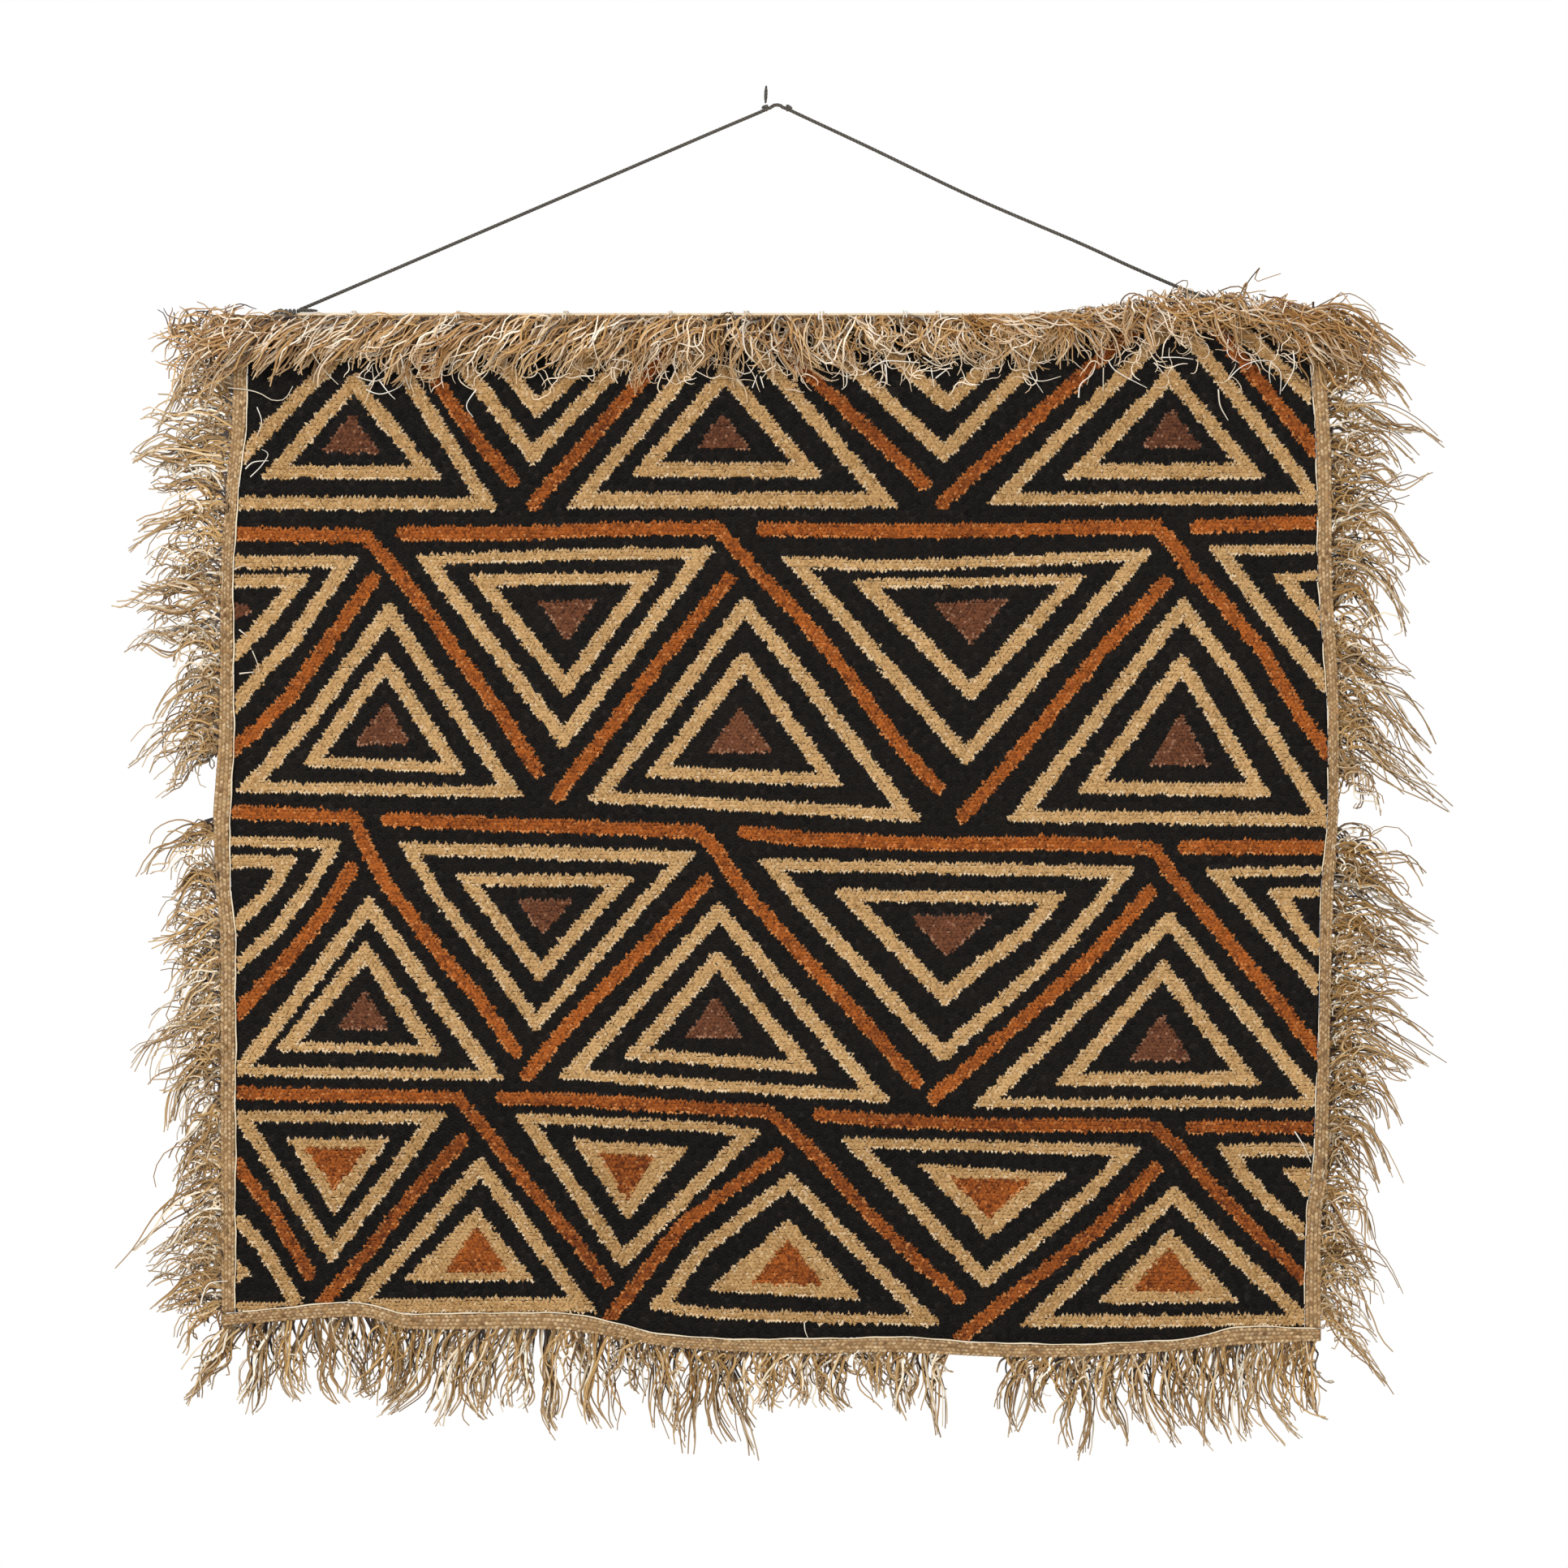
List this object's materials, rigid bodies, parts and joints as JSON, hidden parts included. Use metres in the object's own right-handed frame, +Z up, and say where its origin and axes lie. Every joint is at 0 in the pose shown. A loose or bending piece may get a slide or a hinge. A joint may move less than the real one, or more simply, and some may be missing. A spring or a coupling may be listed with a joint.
{
  "type": "kuba raffia cloth with hanging rod",
  "caption": "Square cut-pile raffia cloth with a plaited binding and long raffia fringe on all sides, sewn to a thin wooden rod and hung by a cord from one point.",
  "frame": {"origin": "the hanging point, under the cord where it lies over its nail", "axes": "+X to the right across the face, +Y back to the wall, +Z up; the face of the cloth looks along -Y"},
  "size_m": [0.8187, 0.0302, 0.8463],
  "materials": {
    "pile": "cut raffia pile in black, tan, terracotta and brown",
    "plaited_raffia": "pale plaited raffia strip",
    "raffia_fringe": "dry raffia strands",
    "pale_wood": "plain sanded wood",
    "dark_cord": "matt twisted cord"
  },
  "bodies": {
    "root": {"cloth_panel": "pile", "binding_left": "plaited_raffia", "binding_right": "plaited_raffia", "binding_bottom": "plaited_raffia", "binding_top": "plaited_raffia", "fringe_left": "raffia_fringe", "fringe_right": "raffia_fringe", "fringe_bottom": "raffia_fringe", "fringe_top": "raffia_fringe", "rod": "pale_wood", "cord_tie_left": "dark_cord", "cord_tie_right": "dark_cord", "cord_leg_left": "dark_cord", "cord_leg_right": "dark_cord", "cord_bridge": "dark_cord", "cord_tail": "dark_cord", "cord_knot_left": "dark_cord", "cord_knot_right": "dark_cord"}
  },
  "joints": []
}
